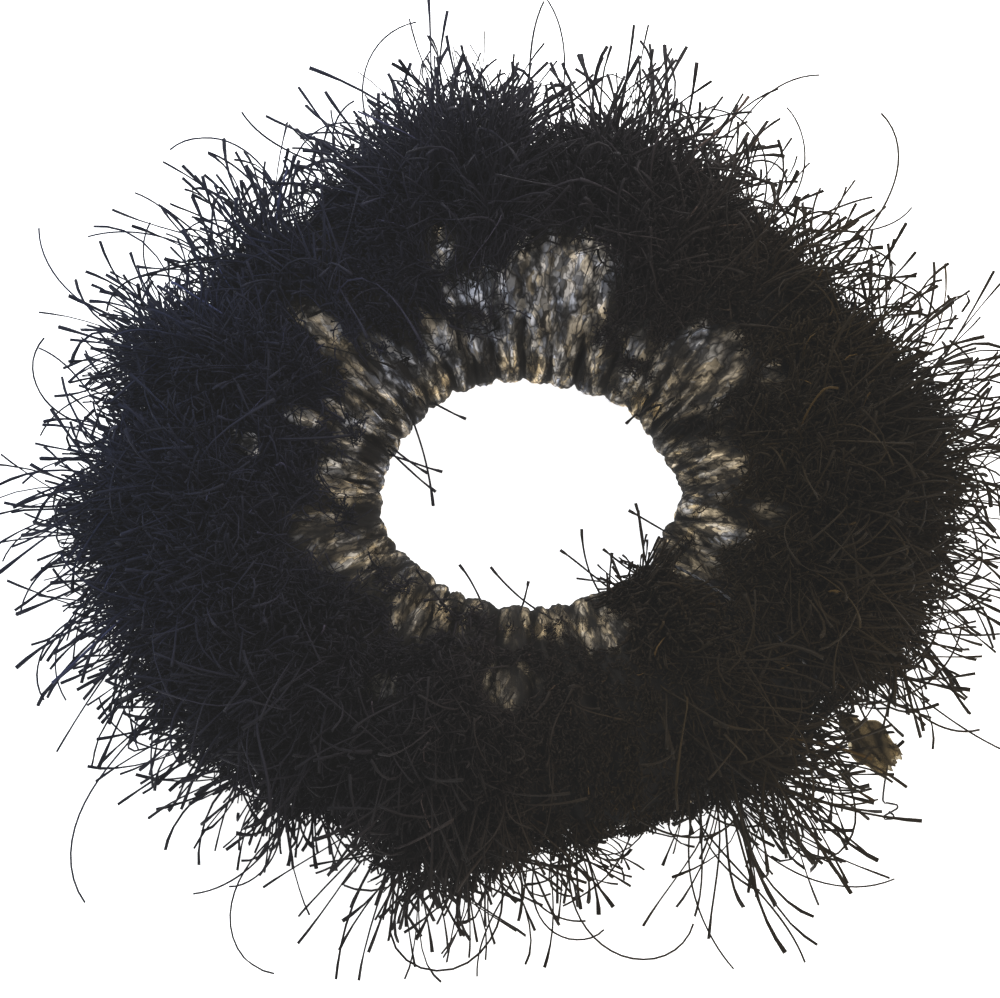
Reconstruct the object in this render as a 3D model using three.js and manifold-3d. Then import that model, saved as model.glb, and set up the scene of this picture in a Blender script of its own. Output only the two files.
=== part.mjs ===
// A fluffy black hair ring: a tube of sheer mesh cloth gathered on an elastic band, with rows of long
// eyelash fringe all round it. It lies flat, slightly oval, the way a soft ring settles on a table.
// Millimetres, +Z up. The origin is the middle of the footprint, on the surface that the ring lies on.
//
// Every ring-shaped piece has a section drawn in two measures: the distance outwards from the edge of
// the opening, and the height. The section is turned once round and then laid along the oval edge.

import * as THREE from "three";
import { mergeVertices } from "three/addons/utils/BufferGeometryUtils.js";
import Module from "manifold-3d";

// Opening for the hair, relaxed.
const OPENING_X = 48.6;
const OPENING_Y = 40;

// Gathered mesh tube, measured on the middle of its cloth.
const TUBE_WIDTH = 36;
const TUBE_RISE = 14; // from the elastic's height to the top
const TUBE_DROP = 12; // from the elastic's height to the underside
const CLOTH = 0.7; // puckered cloth, two or three thicknesses of net
const SEAM_ALLOWANCE = 4; // cloth turned inwards at the long seam
const LONG_SEAM_AT = 0.64; // share of the way round the section, from the opening over the top

// Fringe, as the space that its lashes fill.
const FRINGE_ROWS = 14;
const FRINGE_STARTS = 0.085; // shares of the way round the section: the cloth by the opening is bare
const FRINGE_ENDS = 0.915;
const LASH_INNER = 3; // how far the lashes stand off the cloth beside the opening
const LASH_TOP = 12; // on the crown
const LASH_OUTER = 18; // round the outside
const LASH_CRUSHED = 2; // pressed flat under the tube

// Elastic and threads. The elastic is clear tape, so that it doesn't show through the net.
const ELASTIC_WIDTH = 6;
const ELASTIC_THICK = 0.8;
const ELASTIC_PLAY = 0.42; // from the band to the cloth at its narrowest beside the opening
const ELASTIC_LAP = 12;
const ELASTIC_LAP_AT = THREE.MathUtils.degToRad(20);
const THREAD = 0.5;
const LAP_STITCHES = 3;
const TACK_THREAD = 0.4;

// Seam that closes the ring, and the scrap of seam that sticks out of it.
const CLOSING_SEAM_AT = THREE.MathUtils.degToRad(-35);
const TAB_LENGTH = 13;
const TAB_HEIGHT = 11;

const GAP = 0.3; // between neighbouring pieces
const RING_STEPS = 44;
const TUBE_STEPS = 24; // chords round the tube
const ROW_STEPS = 2; // chords across one row of fringe
const THREAD_SIDES = 6;
const SEAM_STEPS = 48; // along the closing seam's thread
const STITCH_STEPS = 16; // along one stitch of the lap
const ELASTIC_STEPS = 72; // round the elastic

const elasticHeight = LASH_CRUSHED + TUBE_DROP;
const elasticPitch = ELASTIC_THICK + GAP; // from the middle of one end of the band to the other, at the lap
const seamGap = THREAD + 2 * GAP;

// ---- The ring's own shape ----------------------------------------------------------------------

// A point that lies outwards from the opening's edge by out, at height z, at angle turn round it.
function onRing(turn, out, z) {
  const a = OPENING_X / 2;
  const b = OPENING_Y / 2;
  const normal = new THREE.Vector2(b * Math.cos(turn), a * Math.sin(turn)).normalize();
  return new THREE.Vector3(
    a * Math.cos(turn) + normal.x * out,
    b * Math.sin(turn) + normal.y * out,
    z,
  );
}

// The middle of the cloth in section: a pear shape, narrow round the elastic and full outside.
function tubeOutline() {
  const z = elasticHeight;
  const crown = TUBE_WIDTH * 0.58;
  const neck = TUBE_RISE * 0.42;
  const start = CLOTH / 2;
  const end = start + TUBE_WIDTH;
  const outline = new THREE.Path();
  outline.moveTo(start, z);
  outline.bezierCurveTo(start, z + neck, TUBE_WIDTH * 0.25, z + TUBE_RISE, crown, z + TUBE_RISE);
  outline.bezierCurveTo(TUBE_WIDTH * 0.84, z + TUBE_RISE, end, z + TUBE_RISE * 0.6, end, z);
  outline.bezierCurveTo(end, z - TUBE_DROP * 0.65, TUBE_WIDTH * 0.86, z - TUBE_DROP, crown, z - TUBE_DROP);
  outline.bezierCurveTo(TUBE_WIDTH * 0.25, z - TUBE_DROP, start, z - neck, start, z);
  return outline;
}

const outline = tubeOutline();

// The point at a share of the way round the section, moved off the cloth's middle by off.
function section(share, off) {
  const point = outline.getPointAt(share);
  const tangent = outline.getTangentAt(share);
  return new THREE.Vector2(point.x - tangent.y * off, point.y + tangent.x * off);
}

// How far the lashes stand off the cloth's middle at a share of the way round.
function lashReach(share) {
  const point = outline.getPointAt(share);
  const outwards = Math.max(0, -outline.getTangentAt(share).y);
  const away = THREE.MathUtils.smoothstep(point.x, 0, TUBE_WIDTH * 0.55);
  const reach = THREE.MathUtils.lerp(LASH_INNER, LASH_TOP, away);
  return CLOTH / 2 + GAP + reach + (LASH_OUTER - LASH_TOP) * outwards ** 2;
}

// How far outwards the cloth beside the opening reaches within the elastic's width.
function neckDepth() {
  const steps = 400;
  const walls = Array.from({ length: steps }, (_, i) => section(i / steps, -CLOTH / 2));
  const beside = walls.filter(
    (wall) => wall.x < TUBE_WIDTH / 2 && Math.abs(wall.y - elasticHeight) <= ELASTIC_WIDTH / 2,
  );
  return Math.max(...beside.map((wall) => wall.x));
}

// ---- Solids ------------------------------------------------------------------------------------

const wasm = await Module();
wasm.setup();

function toSolid(geometry) {
  const bare = geometry.index ? geometry.toNonIndexed() : geometry.clone();
  bare.deleteAttribute("normal");
  bare.deleteAttribute("uv");
  const merged = mergeVertices(bare, 1e-4);
  const triVerts = new Uint32Array(merged.index.array);
  const build = () =>
    new wasm.Manifold(
      new wasm.Mesh({ numProp: 3, vertProperties: merged.attributes.position.array, triVerts }),
    );
  const solid = build();
  if (solid.volume() > 0) return solid;
  for (let i = 0; i < triVerts.length; i += 3)
    [triVerts[i + 1], triVerts[i + 2]] = [triVerts[i + 2], triVerts[i + 1]];
  return build();
}

function toGeometry(solid) {
  const mesh = solid.getMesh();
  const geometry = new THREE.BufferGeometry();
  geometry.setAttribute("position", new THREE.BufferAttribute(mesh.vertProperties, 3));
  geometry.setIndex(new THREE.BufferAttribute(mesh.triVerts, 1));
  geometry.computeVertexNormals();
  return geometry;
}

// Turns a closed section once round the opening. The lathe works about Y, so its points are read back
// as an angle and a distance outwards, and laid on the oval.
function ringSolid(points) {
  const lathe = new THREE.LatheGeometry([...points, points[0]], RING_STEPS);
  const position = lathe.getAttribute("position");
  for (let i = 0; i < position.count; i += 1) {
    const turn = Math.atan2(position.getX(i), position.getZ(i));
    const out = Math.hypot(position.getX(i), position.getZ(i));
    const placed = onRing(turn, out, position.getY(i));
    position.setXYZ(i, placed.x, placed.y, placed.z);
  }
  return toSolid(lathe);
}

// Turns a shape that points along +X from the origin to the closing seam, starting at the opening.
function atClosingSeam(geometry) {
  const foot = onRing(CLOSING_SEAM_AT, 0, 0);
  const outwards = onRing(CLOSING_SEAM_AT, 1, 0).sub(foot);
  geometry.rotateZ(Math.atan2(outwards.y, outwards.x));
  geometry.translate(foot.x, foot.y, 0);
  return geometry;
}

// The slot that the closing seam leaves through the tube and every row of fringe. It starts inside the
// opening and ends past the lashes.
function closingSlot() {
  const inside = OPENING_Y / 4;
  const outside = TUBE_WIDTH + 2 * LASH_OUTER;
  const height = 2 * (elasticHeight + TUBE_RISE + LASH_OUTER);
  const slot = new THREE.BoxGeometry(inside + outside, seamGap, 2 * height);
  slot.translate((outside - inside) / 2, 0, 0);
  return toSolid(atClosingSeam(slot));
}

// A round thread along a curve.
function threadSolid(points, diameter, steps) {
  const round = new THREE.Shape();
  for (let i = 0; i < THREAD_SIDES; i += 1) {
    const a = (2 * Math.PI * i) / THREAD_SIDES;
    const corner = [Math.cos(a) * (diameter / 2), Math.sin(a) * (diameter / 2)];
    if (i === 0) round.moveTo(...corner);
    else round.lineTo(...corner);
  }
  round.closePath();
  const path = new THREE.CatmullRomCurve3(points);
  return toSolid(new THREE.ExtrudeGeometry(round, { steps, extrudePath: path }));
}

// ---- Pieces ------------------------------------------------------------------------------------

const slot = closingSlot();

function cutAtSeam(solid) {
  return toGeometry(solid.subtract(slot));
}

// Mesh tube: a thin wall round the section, whose two edges turn inwards and meet at the long seam.
function meshTube() {
  const edge = seamGap / 2 / outline.getLength();
  const shares = Array.from({ length: TUBE_STEPS + 1 }, (_, i) => {
    const share = LONG_SEAM_AT + edge + ((1 - 2 * edge) * i) / TUBE_STEPS;
    return share % 1;
  });
  const outside = shares.map((share) => section(share, CLOTH / 2));
  const inside = shares.map((share) => section(share, -CLOTH / 2));
  const inwards = section(LONG_SEAM_AT, -1).sub(section(LONG_SEAM_AT, 0)).normalize();
  const turnIn = (corner, depth) => corner.clone().addScaledVector(inwards, depth);
  const along = section(LONG_SEAM_AT + edge, 0).sub(section(LONG_SEAM_AT, 0)).normalize();
  const depth = CLOTH + SEAM_ALLOWANCE;
  const first = outside[0];
  const last = outside[TUBE_STEPS];
  const profile = [
    ...outside,
    turnIn(last, depth),
    turnIn(last, depth).addScaledVector(along, -CLOTH),
    turnIn(last, CLOTH).addScaledVector(along, -CLOTH),
    ...inside.slice(1, -1).reverse(),
    turnIn(first, CLOTH).addScaledVector(along, CLOTH),
    turnIn(first, depth).addScaledVector(along, CLOTH),
    turnIn(first, depth),
  ];
  return cutAtSeam(ringSolid(profile));
}

// Thread of the long seam, between the two turned-in edges.
function longSeamThread() {
  const middle = section(LONG_SEAM_AT, -(CLOTH + SEAM_ALLOWANCE) / 2);
  const points = Array.from({ length: THREAD_SIDES }, (_, i) => {
    const a = (2 * Math.PI * i) / THREAD_SIDES;
    return new THREE.Vector2(middle.x + (Math.cos(a) * THREAD) / 2, middle.y + (Math.sin(a) * THREAD) / 2);
  });
  return cutAtSeam(ringSolid(points));
}

// Thread of the closing seam: once round the section, in the slot, from one side of the long seam to
// the other.
function closingSeamThread() {
  const room = (2 * seamGap) / outline.getLength();
  const points = Array.from({ length: SEAM_STEPS + 1 }, (_, i) => {
    const share = (LONG_SEAM_AT + room + ((1 - 2 * room) * i) / SEAM_STEPS) % 1;
    const at = section(share, 0);
    return onRing(CLOSING_SEAM_AT, at.x, at.y);
  });
  return toGeometry(threadSolid(points, THREAD, SEAM_STEPS));
}

// One row of fringe: the space that its lashes fill, from the cloth outwards and never below the
// surface that the ring lies on.
function fringeRow(index) {
  const width = (FRINGE_ENDS - FRINGE_STARTS) / FRINGE_ROWS;
  const from = FRINGE_STARTS + width * index;
  const half = GAP / 2 / outline.getLength();
  const shares = Array.from({ length: ROW_STEPS + 1 }, (_, i) => {
    const share = from + (width * i) / ROW_STEPS;
    return THREE.MathUtils.clamp(share, from + half, from + width - half);
  });
  const roots = shares.map((share) => section(share, CLOTH / 2 + GAP));
  const tips = shares.map((share) => {
    const tip = section(share, lashReach(share));
    return new THREE.Vector2(tip.x, Math.max(tip.y, 0));
  });
  return cutAtSeam(ringSolid([...roots, ...tips.reverse()]));
}

// Where the elastic band's middle lies at an angle round the ring. It winds outwards by one thickness
// over its whole length, so that its two ends lie one on the other.
function elasticPoint(turn) {
  const wound = (turn - ELASTIC_LAP_AT) / (2 * Math.PI);
  return onRing(turn, elasticInset + elasticPitch * (wound - 0.5), elasticHeight);
}

const elasticInset = neckDepth() + ELASTIC_PLAY + (elasticPitch + ELASTIC_THICK) / 2;
const lapAngle = (2 * ELASTIC_LAP) / (OPENING_X / 2 + OPENING_Y / 2);

// A running stitch that holds the lap, in and out through both ends of the band.
function lapStitch(diameter) {
  const steps = STITCH_STEPS * LAP_STITCHES;
  const swing = (elasticPitch + ELASTIC_THICK + TACK_THREAD) / 2 + GAP;
  const points = Array.from({ length: steps + 1 }, (_, i) => {
    const share = i / steps;
    const turn = ELASTIC_LAP_AT + lapAngle * (0.2 + 0.6 * share);
    const out = elasticInset + swing * Math.cos(2 * Math.PI * LAP_STITCHES * share);
    return onRing(turn, out, elasticHeight);
  });
  return threadSolid(points, diameter, steps);
}

function elasticBand() {
  const band = new THREE.Shape();
  band.moveTo(-ELASTIC_WIDTH / 2, -ELASTIC_THICK / 2);
  band.lineTo(ELASTIC_WIDTH / 2, -ELASTIC_THICK / 2);
  band.lineTo(ELASTIC_WIDTH / 2, ELASTIC_THICK / 2);
  band.lineTo(-ELASTIC_WIDTH / 2, ELASTIC_THICK / 2);
  band.closePath();
  const points = Array.from({ length: ELASTIC_STEPS + 1 }, (_, i) =>
    elasticPoint(ELASTIC_LAP_AT + ((2 * Math.PI + lapAngle) * i) / ELASTIC_STEPS),
  );
  const extrudePath = new THREE.CatmullRomCurve3(points);
  const solid = toSolid(new THREE.ExtrudeGeometry(band, { steps: ELASTIC_STEPS, extrudePath }));
  return toGeometry(solid.subtract(lapStitch(TACK_THREAD + 2 * GAP)));
}

// The raw end of the closing seam: a small flap of mesh in the slot, outside the tube.
function seamTab() {
  const from = CLOTH + TUBE_WIDTH + GAP;
  const low = elasticHeight - TAB_HEIGHT / 2;
  const flap = new THREE.Shape();
  flap.moveTo(from, low + TAB_HEIGHT * 0.25);
  flap.quadraticCurveTo(from + TAB_LENGTH * 0.6, low, from + TAB_LENGTH, low + TAB_HEIGHT * 0.1);
  flap.lineTo(from + TAB_LENGTH * 0.9, low + TAB_HEIGHT * 0.85);
  flap.quadraticCurveTo(from + TAB_LENGTH * 0.5, low + TAB_HEIGHT, from, low + TAB_HEIGHT * 0.75);
  flap.closePath();
  const geometry = new THREE.ExtrudeGeometry(flap, { depth: THREAD, bevelEnabled: false, curveSegments: 6 });
  geometry.translate(0, 0, -THREAD / 2);
  geometry.rotateX(Math.PI / 2);
  return atClosingSeam(geometry);
}

// ---- Materials ---------------------------------------------------------------------------------

const fringeBlack = new THREE.MeshStandardMaterial({ color: 0x17161a, roughness: 0.6, metalness: 0 });
const meshBlack = new THREE.MeshStandardMaterial({ color: 0x201d1c, roughness: 0.8, metalness: 0 });
const elasticClear = new THREE.MeshStandardMaterial({
  color: 0xd8d2c6,
  roughness: 0.35,
  metalness: 0,
  transparent: true,
  opacity: 0.4,
});
const threadBlack = new THREE.MeshStandardMaterial({ color: 0x121214, roughness: 0.55, metalness: 0 });

// ---- The assembly ------------------------------------------------------------------------------

const ring = new THREE.Group();

function add(name, geometry, material) {
  const mesh = new THREE.Mesh(geometry, material);
  mesh.name = name;
  ring.add(mesh);
}

add("elastic_band", elasticBand(), elasticClear);
add("elastic_lap_stitch", toGeometry(lapStitch(TACK_THREAD)), threadBlack);
add("mesh_tube", meshTube(), meshBlack);
add("long_seam_thread", longSeamThread(), threadBlack);
add("closing_seam_thread", closingSeamThread(), threadBlack);
add("seam_tab", seamTab(), meshBlack);
for (let row = 0; row < FRINGE_ROWS; row += 1)
  add(`fringe_row_${String(row + 1).padStart(2, "0")}`, fringeRow(row), fringeBlack);

export default ring;
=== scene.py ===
"""A fluffy black hair ring: sheer net gathered on clear elastic, covered in rows of long eyelash fringe.

Lengths are in millimetres until a mesh is made. The ring has three measures of its own: turn, the angle
round the opening; share, how far round the tube's section a point lies, from the opening over the top
and back under; and out, the distance outwards from the opening's edge.
"""

import math

import bpy
import numpy as np
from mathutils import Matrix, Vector


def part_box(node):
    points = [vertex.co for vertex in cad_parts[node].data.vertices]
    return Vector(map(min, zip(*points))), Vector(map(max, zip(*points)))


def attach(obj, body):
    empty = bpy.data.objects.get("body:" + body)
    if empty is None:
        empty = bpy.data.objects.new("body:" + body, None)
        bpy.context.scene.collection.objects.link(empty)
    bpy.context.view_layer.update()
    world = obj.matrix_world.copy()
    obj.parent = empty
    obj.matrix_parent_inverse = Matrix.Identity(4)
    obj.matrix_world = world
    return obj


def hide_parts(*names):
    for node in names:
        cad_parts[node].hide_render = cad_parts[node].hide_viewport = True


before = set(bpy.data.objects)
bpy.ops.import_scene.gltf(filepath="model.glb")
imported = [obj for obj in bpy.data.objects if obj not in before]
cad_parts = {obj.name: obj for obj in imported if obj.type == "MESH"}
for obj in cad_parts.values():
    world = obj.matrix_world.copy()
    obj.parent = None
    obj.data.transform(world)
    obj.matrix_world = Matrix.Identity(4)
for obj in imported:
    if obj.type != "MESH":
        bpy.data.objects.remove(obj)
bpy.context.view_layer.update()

MM = 0.001
UP = np.array([0.0, 0.0, 1.0])

# Net tube, as in the frame's design.
TUBE_WIDTH = 36.0
CLOTH = 0.7
PLEATS = 36
SEAM_AT = math.radians(-35)  # closing seam
LONG_SEAM_AT = 0.64  # share of the way round the section

# Camera: a little off straight down, with the opening right of the middle.
CAMERA_ELEVATION = 72.0
CAMERA_DISTANCE = 520.0
CAMERA_VIEW_WIDTH = 161.7  # across the view, at the height of the elastic
CAMERA_AIM = (-4.2, -0.7)
VIEW_LEAN = 1 / math.tan(math.radians(CAMERA_ELEVATION))  # how far back a point seems to lie for its height


# ---- Helpers -------------------------------------------------------------------------------------


def linear(hex_colour):
    """An sRGB hex colour as linear red, green, blue and alpha."""
    parts = [int(hex_colour[i : i + 2], 16) / 255 for i in (1, 3, 5)]
    return [c / 12.92 if c <= 0.04045 else ((c + 0.055) / 1.055) ** 2.4 for c in parts] + [1.0]


def add_node(tree, kind, links=None, **settings):
    """Adds a shader node. A setting is a property or an input's value, and links maps inputs to outputs."""
    node = tree.nodes.new(kind)
    for name, value in settings.items():
        if hasattr(node, name):
            setattr(node, name, value)
        else:
            node.inputs[name.replace("_", " ")].default_value = value
    for name, output in (links or {}).items():
        tree.links.new(output, node.inputs[name])
    return node


def new_material(name):
    material = bpy.data.materials.new(name)
    material.use_nodes = True
    material.node_tree.nodes.clear()
    return material, material.node_tree


def finish_material(tree, shader):
    output = tree.nodes.new("ShaderNodeOutputMaterial")
    tree.links.new(shader, output.inputs["Surface"])


def remap(tree, value, from_low, from_high, to_low, to_high):
    """Takes a value from one span to another and stops at the ends of the second."""
    node = add_node(tree, "ShaderNodeMapRange", {"Value": value},
                    From_Min=from_low, From_Max=from_high, To_Min=to_low, To_Max=to_high)
    return node.outputs["Result"]


def painted_light_side(tree, slope, cool_at, warm_at, low, high):
    """For painted light: a number that runs from low on the ring's cool side, back left, to high on its warm
    side, front right, where colours are drawn cooler or warmer as if lit so. A place's way over is its x
    plus slope times its y, in metres."""
    place = add_node(tree, "ShaderNodeTexCoord").outputs["Object"]
    parts = add_node(tree, "ShaderNodeSeparateXYZ", {"Vector": place})
    over = add_node(tree, "ShaderNodeMath", {0: parts.outputs["Y"], 2: parts.outputs["X"]},
                    operation="MULTIPLY_ADD")
    over.inputs[1].default_value = slope
    return remap(tree, over.outputs["Value"], cool_at, warm_at, low, high)


def make_mesh(name, points, faces, material, smooth=True):
    """A mesh object from points in millimetres and arrays of faces, one array for each corner count."""
    mesh = bpy.data.meshes.new(name)
    points = np.ascontiguousarray(points.reshape(-1, 3) * MM, dtype=np.float32)
    corners = np.concatenate([f.ravel() for f in faces]).astype(np.int32)
    counts = np.concatenate([np.full(len(f), f.shape[1], np.int32) for f in faces])
    mesh.vertices.add(len(points))
    mesh.vertices.foreach_set("co", points.ravel())
    mesh.loops.add(len(corners))
    mesh.loops.foreach_set("vertex_index", corners)
    mesh.polygons.add(len(counts))
    mesh.polygons.foreach_set("loop_start", np.concatenate([[0], np.cumsum(counts)[:-1]]).astype(np.int32))
    mesh.polygons.foreach_set("loop_total", counts)
    mesh.polygons.foreach_set("use_smooth", np.full(len(counts), smooth))
    mesh.update(calc_edges=True)
    mesh.validate()
    mesh.materials.append(material)
    piece = bpy.data.objects.new(name, mesh)
    bpy.context.scene.collection.objects.link(piece)
    return piece


def set_attribute(piece, name, values):
    """Stores one number per vertex."""
    attribute = piece.data.attributes.new(name, "FLOAT", "POINT")
    attribute.data.foreach_set("value", np.ascontiguousarray(values, dtype=np.float32).ravel())


def set_uv(piece, name, uv):
    """Stores a UV map from one pair of numbers per vertex."""
    corner = np.zeros(len(piece.data.loops), np.int32)
    piece.data.loops.foreach_get("vertex_index", corner)
    layer = piece.data.uv_layers.new(name=name)
    layer.data.foreach_set("uv", uv.reshape(-1, 2)[corner].astype(np.float32).ravel())


def smoothstep(low, high, x):
    t = np.clip((x - low) / (high - low), 0, 1)
    return t * t * (3 - 2 * t)


def unit(v):
    return v / np.maximum(np.linalg.norm(v, axis=-1, keepdims=True), 1e-9)


def ring_noise(turn, seed, fewest, most):
    """Smooth noise round the ring: a sum of sines with whole numbers of waves, of about -1 to 1."""
    random = np.random.default_rng(seed)
    waves = np.arange(fewest, most + 1).reshape((-1,) + (1,) * np.ndim(turn))
    size = random.uniform(0.4, 1, waves.shape)
    start = random.uniform(0, 2 * math.pi, waves.shape)
    return (size * np.sin(waves * turn + start)).sum(0) / np.sqrt((size**2).sum())


def cloth_noise(turn, share, seed, count, round_waves, section_waves):
    """Smooth noise over the tube's cloth: a sum of plane waves that close up both ways round."""
    random = np.random.default_rng(seed)
    total = np.zeros(np.broadcast(turn, share).shape)
    for _ in range(count):
        k = random.integers(round_waves[0], round_waves[1] + 1) * random.choice([-1, 1])
        j = random.integers(section_waves[0], section_waves[1] + 1)
        total += np.sin(k * turn + 2 * math.pi * j * share + random.uniform(0, 2 * math.pi))
    return total / math.sqrt(count)


# ---- The ring's own shape ------------------------------------------------------------------------

tube_low, tube_high = (np.array(corner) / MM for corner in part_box("mesh_tube"))
elastic_low, elastic_high = (np.array(corner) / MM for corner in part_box("elastic_band"))
ELASTIC_HEIGHT = (elastic_low[2] + elastic_high[2]) / 2
TUBE_RISE = tube_high[2] - CLOTH / 2 - ELASTIC_HEIGHT
TUBE_DROP = ELASTIC_HEIGHT - tube_low[2] - CLOTH / 2
HALF_X = tube_high[0] - TUBE_WIDTH - CLOTH
HALF_Y = tube_high[1] - TUBE_WIDTH - CLOTH


def section_table(samples=300):
    """The middle of the cloth in section, pear-shaped, from four Bezier curves. Returns shares by arc
    length, points (out, height), tangents and the whole length."""
    z, crown, neck = ELASTIC_HEIGHT, TUBE_WIDTH * 0.58, TUBE_RISE * 0.42
    start, end = CLOTH / 2, CLOTH / 2 + TUBE_WIDTH
    top, bottom = z + TUBE_RISE, z - TUBE_DROP
    corners = np.array([
        [(start, z), (start, z + neck), (TUBE_WIDTH * 0.25, top), (crown, top)],
        [(crown, top), (TUBE_WIDTH * 0.84, top), (end, z + TUBE_RISE * 0.6), (end, z)],
        [(end, z), (end, z - TUBE_DROP * 0.65), (TUBE_WIDTH * 0.86, bottom), (crown, bottom)],
        [(crown, bottom), (TUBE_WIDTH * 0.25, bottom), (start, z - neck), (start, z)],
    ])
    t = np.linspace(0, 1, samples, endpoint=False)[None, :, None]
    weights = [(1 - t) ** 3, 3 * t * (1 - t) ** 2, 3 * t**2 * (1 - t), t**3]
    path = sum(w * corners[:, i, None, :] for i, w in enumerate(weights)).reshape(-1, 2)
    path = np.vstack([path, path[:1]])
    length = np.concatenate([[0], np.cumsum(np.linalg.norm(np.diff(path, axis=0), axis=1))])
    ahead = unit(np.roll(path[:-1], -1, 0) - np.roll(path[:-1], 1, 0))
    return length / length[-1], path, np.vstack([ahead, ahead[:1]]), length[-1]


SHARES, PATH, AHEAD, GIRTH = section_table()


def section(share):
    """Out, height and the tangent's two parts at a share of the way round the section."""
    share = np.mod(share, 1.0)
    return [np.interp(share, SHARES, column) for column in (*PATH.T, *AHEAD.T)]


def ring_frame(turn):
    """The point of the opening's edge at an angle round it, and the directions outwards and along."""
    c, s = np.cos(turn), np.sin(turn)
    flat = np.zeros_like(c)
    edge = np.stack([HALF_X * c, HALF_Y * s, flat], -1)
    outwards = unit(np.stack([HALF_Y * c, HALF_X * s, flat], -1))
    along = np.stack([-outwards[..., 1], outwards[..., 0], flat], -1)
    return edge, outwards, along


def from_opening(share):
    """The share of the way round the section from the opening, by the shorter way, 0 to 0.5."""
    return np.minimum(np.mod(share, 1), 1 - np.mod(share, 1))


def pleat_phase(turn, share):
    """The pleats' phase. Their spacing wanders round the ring, and they lean a little as they run out."""
    lean = 1.6 * ring_noise(turn, 4, 2, 6) * np.sin(math.pi * share) ** 2
    return PLEATS * turn + 1.6 * ring_noise(turn, 3, 3, 11) + lean


def gathers(turn, share):
    """The pleats, 0 on a round crest and -1 in a sharp valley, each deeper or flatter than its neighbour,
    with small puckers between them beside the opening."""
    phase = pleat_phase(turn, share)
    fold = np.abs(np.sin(phase / 2)) ** 0.8 - 1
    small = np.abs(np.sin(1.5 * phase + 2 * ring_noise(turn, 5, 4, 20))) - 1
    beside = smoothstep(0.22, 0.04, from_opening(share))
    return (0.75 + 0.4 * ring_noise(turn, 6, 8, 40)) * fold + 0.2 * beside * small


def pleat_depth(share):
    """How deep the pleats are, in millimetres: shallow over the elastic, deep beside it, less outside."""
    near = from_opening(share)
    shallow_on_elastic = 0.9 + 1.9 * smoothstep(0.02, 0.08, near)
    return shallow_on_elastic * (1 - 0.4 * smoothstep(0.16, 0.4, near))


def seam_groove(turn):
    """The closing seam pulls the cloth in, in a narrow groove at one place round the ring."""
    away = (turn - SEAM_AT + math.pi) % (2 * math.pi) - math.pi
    return -1.3 * np.exp(-((away * HALF_X / 1.3) ** 2))


def edge_wander(turn, share):
    """The gathered cloth bulges into the opening, and its edge wanders in and out a little. This fades
    outwards."""
    wander = -1.2 + 0.5 * ring_noise(turn, 8, 3, 9) - 0.5 * np.cos(turn - 3.9)
    return wander * smoothstep(0.2, 0.02, from_opening(share))


def cloth(turn, share, off=0.0):
    """A point of the gathered cloth, moved off it by off, and the cloth's directions: normal to the tube,
    along the ring, and outwards from the opening."""
    out, height, ahead_out, ahead_up = section(share)
    edge, outwards, along = ring_frame(turn)
    lift = off + pleat_depth(share) * gathers(turn, share) + seam_groove(turn)
    puckers = 0.05 + 0.13 * smoothstep(0.02, 0.1, from_opening(share))
    lift = lift + puckers * cloth_noise(turn, share, 9, 18, (60, 190), (6, 22))
    out = out + edge_wander(turn, share) - lift * ahead_up
    height = height + lift * ahead_out
    point = edge + outwards * out[..., None] + UP * height[..., None]
    normal = outwards * -ahead_up[..., None] + UP * ahead_out[..., None]
    return point, normal, along, outwards


# ---- Materials -----------------------------------------------------------------------------------


def dyed_lash_polyester():
    """Eyelash fringe: flat filaments of black-dyed polyester, cut to length. They are nearly black with a
    faint satin streak along each lash, and a few are drawn paler, painted highlights for lashes that catch
    the light. The colour leans blue on one side of the ring and brown on the other: painted light, for cool
    light from the back left and warm light from the front right, on a dye that is one black all round."""
    material, tree = new_material("dyed_lash_polyester")
    tone = add_node(tree, "ShaderNodeAttribute", attribute_name="tone").outputs["Fac"]
    along = add_node(tree, "ShaderNodeAttribute", attribute_name="along").outputs["Fac"]
    # The ramp's top, past 0.9, colours the few pale lashes: painted highlights for lashes that catch the
    # light.
    ramp = add_node(tree, "ShaderNodeValToRGB", {"Fac": tone})
    stops = ramp.color_ramp.elements
    stops[0].color, stops[1].color = linear("#101010"), linear("#464442")
    for place, colour in ((0.9, "#1e1e1e"), (0.97, "#242424")):
        stops.new(place).color = linear(colour)
    # Painted light: the lashes' colour is tinted cool at the back left and warm at the front right.
    side = painted_light_side(tree, -0.4, -0.065, 0.035, 0.0, 1.0)
    light_tint = add_node(tree, "ShaderNodeMix", {"Factor": side}, data_type="RGBA")
    light_tint.inputs["A"].default_value = (0.78, 1.04, 2.6, 1)
    light_tint.inputs["B"].default_value = (1.5, 0.9, 0.2, 1)
    light_tinted = add_node(tree, "ShaderNodeVectorMath", {0: ramp.outputs["Color"], 1: light_tint.outputs["Result"]},
                    operation="MULTIPLY")
    darker_end = remap(tree, along, 0.7, 1.0, 1.0, 0.7)
    shade = add_node(tree, "ShaderNodeVectorMath", {0: light_tinted.outputs["Vector"], "Scale": darker_end},
                     operation="SCALE")
    fibre = add_node(tree, "ShaderNodeBsdfPrincipled", {"Base Color": shade.outputs["Vector"]},
                     Roughness=0.7, IOR=1.45)
    fibre.inputs["Specular IOR Level"].default_value = 0.15
    finish_material(tree, fibre.outputs["BSDF"])
    return material


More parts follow.
